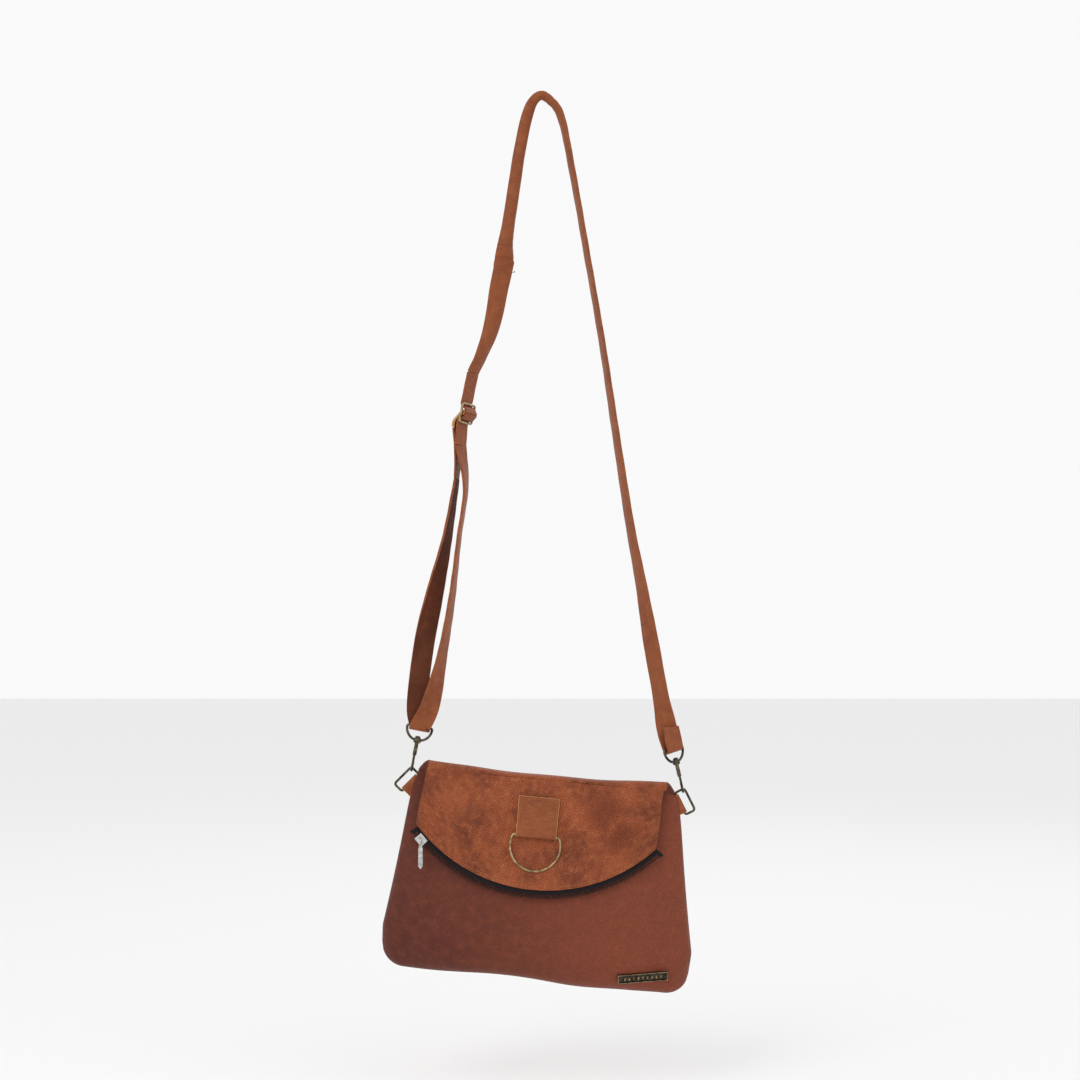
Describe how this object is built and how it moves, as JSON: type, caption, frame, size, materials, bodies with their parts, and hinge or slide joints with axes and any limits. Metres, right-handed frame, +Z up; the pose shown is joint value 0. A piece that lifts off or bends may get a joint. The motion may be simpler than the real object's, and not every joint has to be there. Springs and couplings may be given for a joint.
{
  "type": "fold-over sling bag",
  "caption": "Leather sling bag with a fold-over flap edged by a curved zip, a D-ring on a front tab, and a long adjustable strap on snap hooks.",
  "frame": {"origin": "inner face of the strap at its topmost bend, where a peg or hand carries it", "axes": "+Z up, +X to the right seen from the front, -Y towards the front of the bag"},
  "size_m": [0.3037, 0.0605, 0.8752],
  "materials": {
    "flap_leather": "pebbled cognac leather, light sheen",
    "body_leather": "smooth red-brown leather, satin",
    "strap_leather": "smooth tan leather, satin",
    "lining_cloth": "plain woven cotton",
    "zip_tape": "black twill tape",
    "nickel": "polished nickel",
    "antique_brass": "antique brass, brushed",
    "plate_metal": "dark antique brass",
    "steel": "satin"
  },
  "bodies": {
    "strap": {"strap_long_piece": "strap_leather", "strap_short_piece_upper": "strap_leather", "strap_adjuster_pass": "strap_leather", "strap_short_piece_front_leg": "strap_leather", "strap_short_piece_back_leg": "strap_leather", "strap_back_leg_top": "strap_leather", "left_eye": "antique_brass", "right_eye": "antique_brass"},
    "adjuster": {"adjuster_frame": "antique_brass", "adjuster_bar": "antique_brass", "strap_sewn_end": "strap_leather"},
    "bag": {"front_panel": "body_leather", "back_panel": "body_leather", "lining_front": "lining_cloth", "lining_back": "lining_cloth", "fold_outer": "flap_leather", "fold_inner": "flap_leather", "left_side_tab": "body_leather", "right_side_tab": "body_leather", "name_plate": "plate_metal", "name_plate_pins": "plate_metal"},
    "flap": {"flap_outer": "flap_leather", "flap_inner": "flap_leather", "zip_tape_front": "zip_tape", "zip_tape_back": "zip_tape", "zip_teeth": "nickel", "zip_stop_left": "nickel", "zip_stop_right": "nickel", "front_tab": "flap_leather"},
    "slider": {"zip_slider": "nickel", "zip_bridge": "nickel"},
    "pull_link": {"zip_link": "nickel"},
    "pull": {"zip_pull": "nickel"},
    "front_ring": {"d_ring": "antique_brass"},
    "left_snap_hook": {"left_hook": "antique_brass", "left_gate_pin": "steel", "left_swivel_rivet": "antique_brass", "left_gate_spring": "steel"},
    "left_hook_gate": {"left_gate": "steel"},
    "left_side_ring": {"left_ring": "antique_brass"},
    "right_snap_hook": {"right_hook": "antique_brass", "right_gate_pin": "steel", "right_swivel_rivet": "antique_brass", "right_gate_spring": "steel"},
    "right_hook_gate": {"right_gate": "steel"},
    "right_side_ring": {"right_ring": "antique_brass"}
  },
  "joints": [
    {"name": "bag_swing", "type": "hinge", "parent": "strap", "child": "bag", "pos_m": [0.00603, 0.00046, -0.66377], "axis": [0.9969, -0.0007, -0.0789], "range_deg": [-20, 20]},
    {"name": "flap_fold", "type": "hinge", "parent": "bag", "child": "flap", "pos_m": [0.00584, -0.00358, -0.66561], "axis": [-0.9956, 0, 0.0941], "range_deg": [0, 140], "deforming": ["fold_outer", "fold_inner"]},
    {"name": "zip_travel", "type": "hinge", "parent": "flap", "child": "slider", "pos_m": [0.00622, 0.00423, -0.61381], "axis": [0.0141, -0.9888, 0.1489], "range_deg": [0, 86]},
    {"name": "pull_link_swing", "type": "hinge", "parent": "slider", "child": "pull_link", "pos_m": [-0.11605, -0.02697, -0.72047], "axis": [-1, 0, 0], "range_deg": [0, 70]},
    {"name": "pull_swing", "type": "hinge", "parent": "pull_link", "child": "pull", "pos_m": [-0.11605, -0.02787, -0.72457], "axis": [0, 1, 0], "range_deg": [-35, 35]},
    {"name": "front_ring_swing", "type": "hinge", "parent": "flap", "child": "front_ring", "pos_m": [-0.00483, -0.02435, -0.71692], "axis": [-0.9956, 0, 0.0941], "range_deg": [0, 110]},
    {"name": "left_ring_turn", "type": "hinge", "parent": "bag", "child": "left_side_ring", "pos_m": [-0.12708, 0.00105, -0.66813], "axis": [0.707, -0.0323, 0.7064], "range_deg": [-1.5, 1.5]},
    {"name": "left_swivel", "type": "hinge", "parent": "strap", "child": "left_snap_hook", "pos_m": [-0.12572, 0.00055, -0.65333], "axis": [0.1908, 0, 0.9816], "range_deg": [-5, 5]},
    {"name": "left_gate_open", "type": "hinge", "parent": "left_snap_hook", "child": "left_hook_gate", "pos_m": [-0.12257, 0.00394, -0.63714], "axis": [-0.9816, 0, 0.1908], "range_deg": [0, 20], "stiffness_Nm_per_rad": 0.01, "springref_deg": -20.05, "deforming": ["left_gate_spring"]},
    {"name": "right_ring_turn", "type": "hinge", "parent": "bag", "child": "right_side_ring", "pos_m": [0.13535, 0.00088, -0.68863], "axis": [0.4478, 0.0355, -0.8934], "range_deg": [-1.5, 1.5]},
    {"name": "right_swivel", "type": "hinge", "parent": "strap", "child": "right_snap_hook", "pos_m": [0.13778, 0.00037, -0.6742], "axis": [-0.225, 0, 0.9744], "range_deg": [-5, 5]},
    {"name": "right_gate_open", "type": "hinge", "parent": "right_snap_hook", "child": "right_hook_gate", "pos_m": [0.13407, 0.00377, -0.65812], "axis": [-0.9744, 0, -0.225], "range_deg": [0, 20], "stiffness_Nm_per_rad": 0.01, "springref_deg": -20.05, "deforming": ["right_gate_spring"]},
    {"name": "adjuster_slide", "type": "slide", "parent": "strap", "child": "adjuster", "axis": [0.2079, 0, 0.9781], "range_m": [-0.015, 0.025], "deforming": ["strap_adjuster_pass", "strap_back_leg_top"]}
  ]
}
